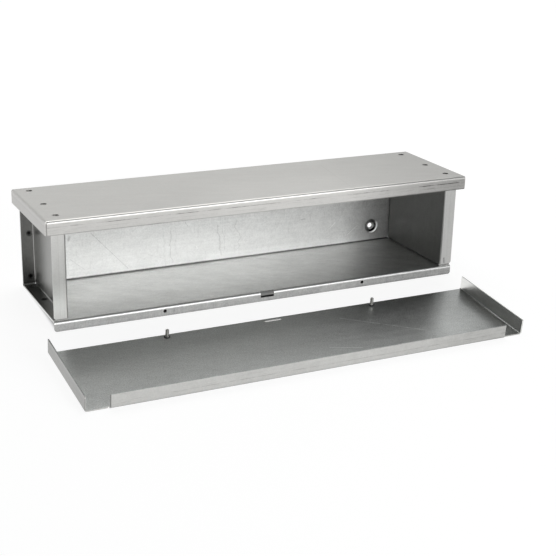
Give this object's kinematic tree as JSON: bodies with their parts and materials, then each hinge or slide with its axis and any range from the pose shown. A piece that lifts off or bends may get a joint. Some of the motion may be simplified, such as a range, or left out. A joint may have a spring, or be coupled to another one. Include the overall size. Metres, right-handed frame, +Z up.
{
  "type": "wireway trough",
  "caption": "Rain-tight galvanised sheet-steel wiring trough with an overhanging top and an open front, its flanged screw cover lying in front of it.",
  "frame": {"origin": "on the floor, in the middle of the box round the trough and its cover", "axes": "+X along the trough towards its right end seen from the open front, +Y towards its back, +Z up"},
  "size_m": [0.646, 0.3782, 0.1525],
  "materials": {
    "galvanised_sheet": "satin zinc-coated sheet steel with fine rolling lines and small scuffs",
    "plated_screw": "bright zinc plate",
    "retainer_nylon": "dark moulded nylon"
  },
  "bodies": {
    "root": {"trough_body": "galvanised_sheet", "top_shield": "galvanised_sheet", "end_plate_left": "galvanised_sheet", "end_plate_right": "galvanised_sheet", "cover": "galvanised_sheet", "cover_screw_left": "plated_screw", "cover_screw_right": "plated_screw", "screw_retainer_left": "retainer_nylon", "screw_retainer_right": "retainer_nylon"}
  },
  "joints": []
}
